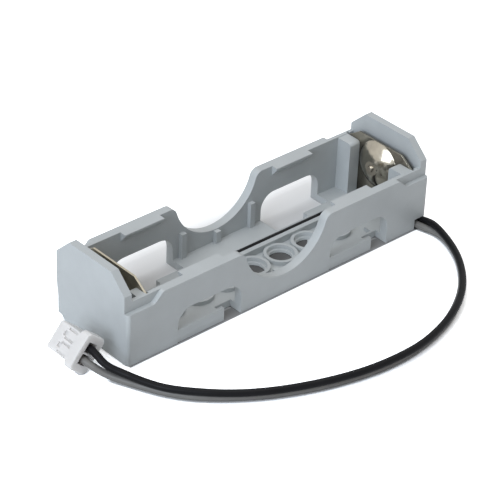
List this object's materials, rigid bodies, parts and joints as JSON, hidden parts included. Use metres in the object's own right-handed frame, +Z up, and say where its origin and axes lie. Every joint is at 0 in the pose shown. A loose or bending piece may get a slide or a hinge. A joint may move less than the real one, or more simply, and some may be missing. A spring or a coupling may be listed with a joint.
{
  "type": "cylindrical cell holder",
  "caption": "Open moulded tray that snaps around a cylindrical cell between a domed and a sprung contact, with a pair of thin leads to a small plug.",
  "frame": {"origin": "bottom centre of the tray, on the surface it stands on", "axes": "+X along the cell from the sprung contact to the domed one, -Y towards the leads, +Z up"},
  "size_m": [0.0727, 0.0441, 0.0153],
  "materials": {
    "tray_plastic": "satin light blue-gray moulding",
    "nickel": "bright nickel plate",
    "solder": "bright solder",
    "black_pvc": "satin",
    "gray_pvc": "satin",
    "plug_nylon": "satin white",
    "tinned_brass": "tin plate"
  },
  "bodies": {
    "root": {"housing": "tray_plastic", "dome_contact": "nickel", "spring_contact": "nickel", "spring_solder": "solder", "dome_solder": "solder", "black_channel_lead": "black_pvc", "black_lead": "black_pvc", "gray_tail_lead": "gray_pvc", "gray_lead": "gray_pvc", "plug_housing": "plug_nylon", "black_terminal": "tinned_brass", "gray_terminal": "tinned_brass"}
  },
  "joints": []
}
